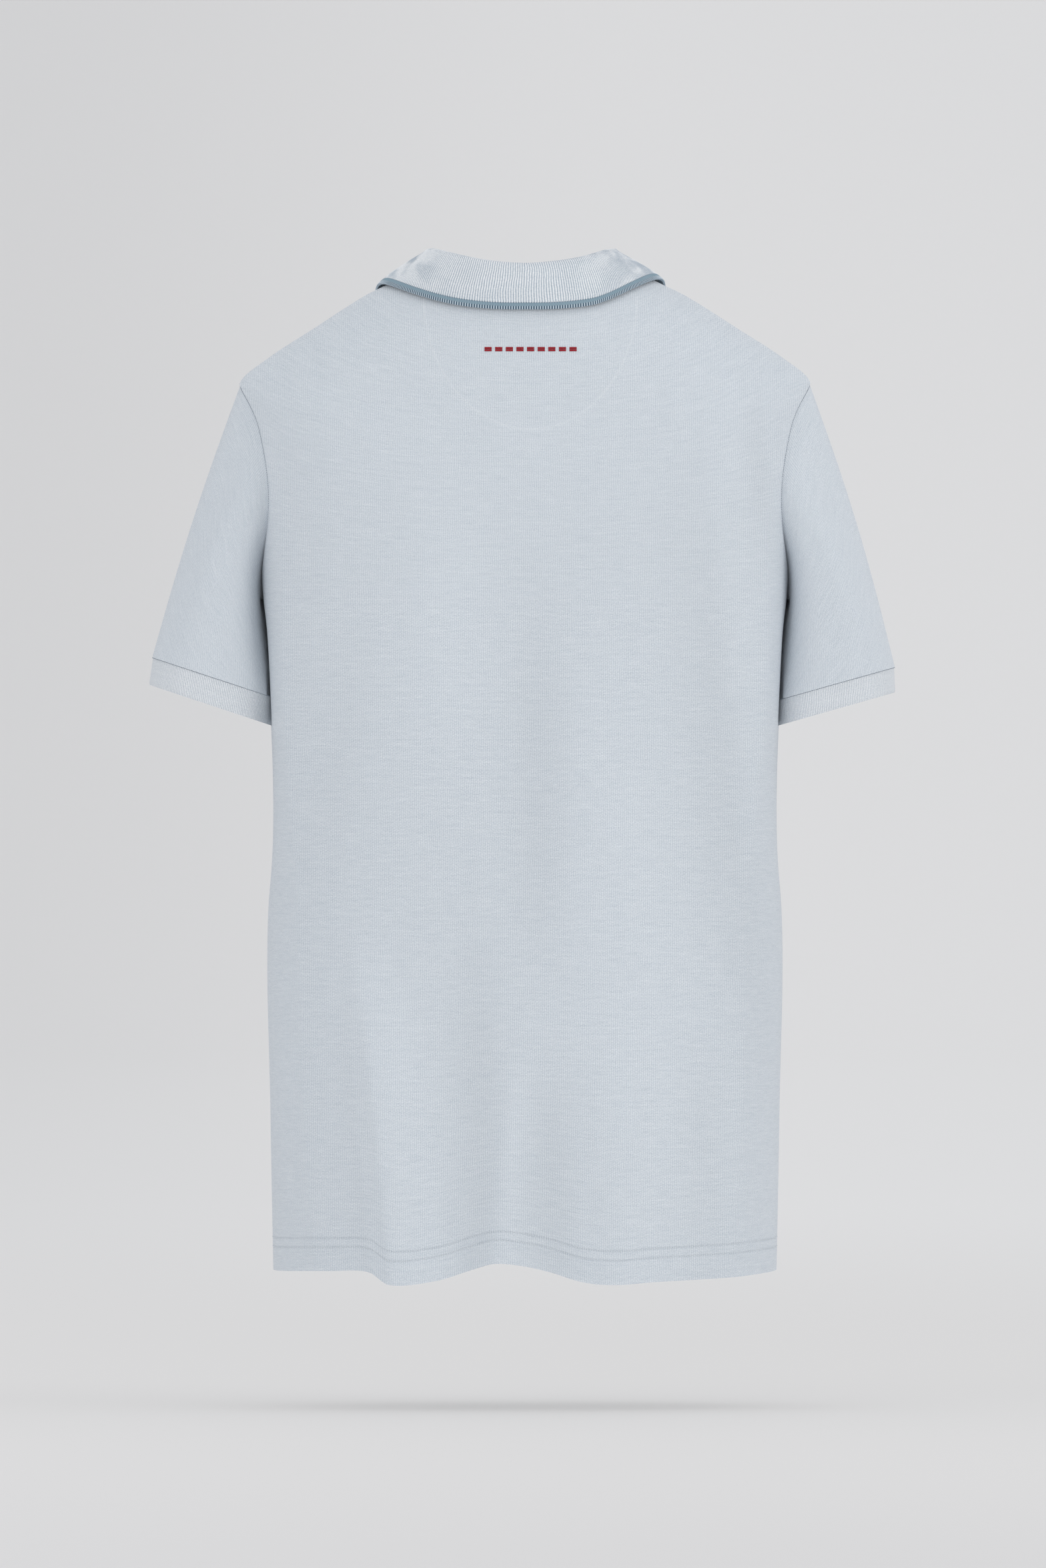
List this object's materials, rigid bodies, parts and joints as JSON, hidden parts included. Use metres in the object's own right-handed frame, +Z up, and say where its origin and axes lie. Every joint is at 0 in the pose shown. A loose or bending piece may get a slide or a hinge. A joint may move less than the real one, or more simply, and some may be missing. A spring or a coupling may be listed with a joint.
{
  "type": "polo shirt",
  "caption": "Short-sleeved knit polo shirt held in its worn shape, hollow inside, with a fold-over ribbed collar, a buttoned placket and ribbed sleeve bands.",
  "frame": {"origin": "middle of the neck, level with the high points of the shoulders, where a wearer's neck would hold the shirt", "axes": "+Z up, from hem to collar; +Y toward the back of the shirt; +X toward the wearer's left sleeve"},
  "size_m": [0.5368, 0.2346, 0.7439],
  "materials": {
    "body_knit": "soft fine terry knit with faint upright wales",
    "rib_knit": "ribbed knit, with a darker tipped edge on the collar",
    "neck_patch": "fine flat knit",
    "button": "smooth pale resin"
  },
  "bodies": {
    "root": {"back_panel": "body_knit", "front_panel": "body_knit", "sleeve_left": "body_knit", "sleeve_right": "body_knit", "placket_top": "body_knit", "placket_under": "body_knit", "cuff_left": "rib_knit", "cuff_right": "rib_knit", "collar": "rib_knit", "half_moon": "neck_patch", "button_1": "button", "button_2": "button", "button_3": "button"}
  },
  "joints": []
}
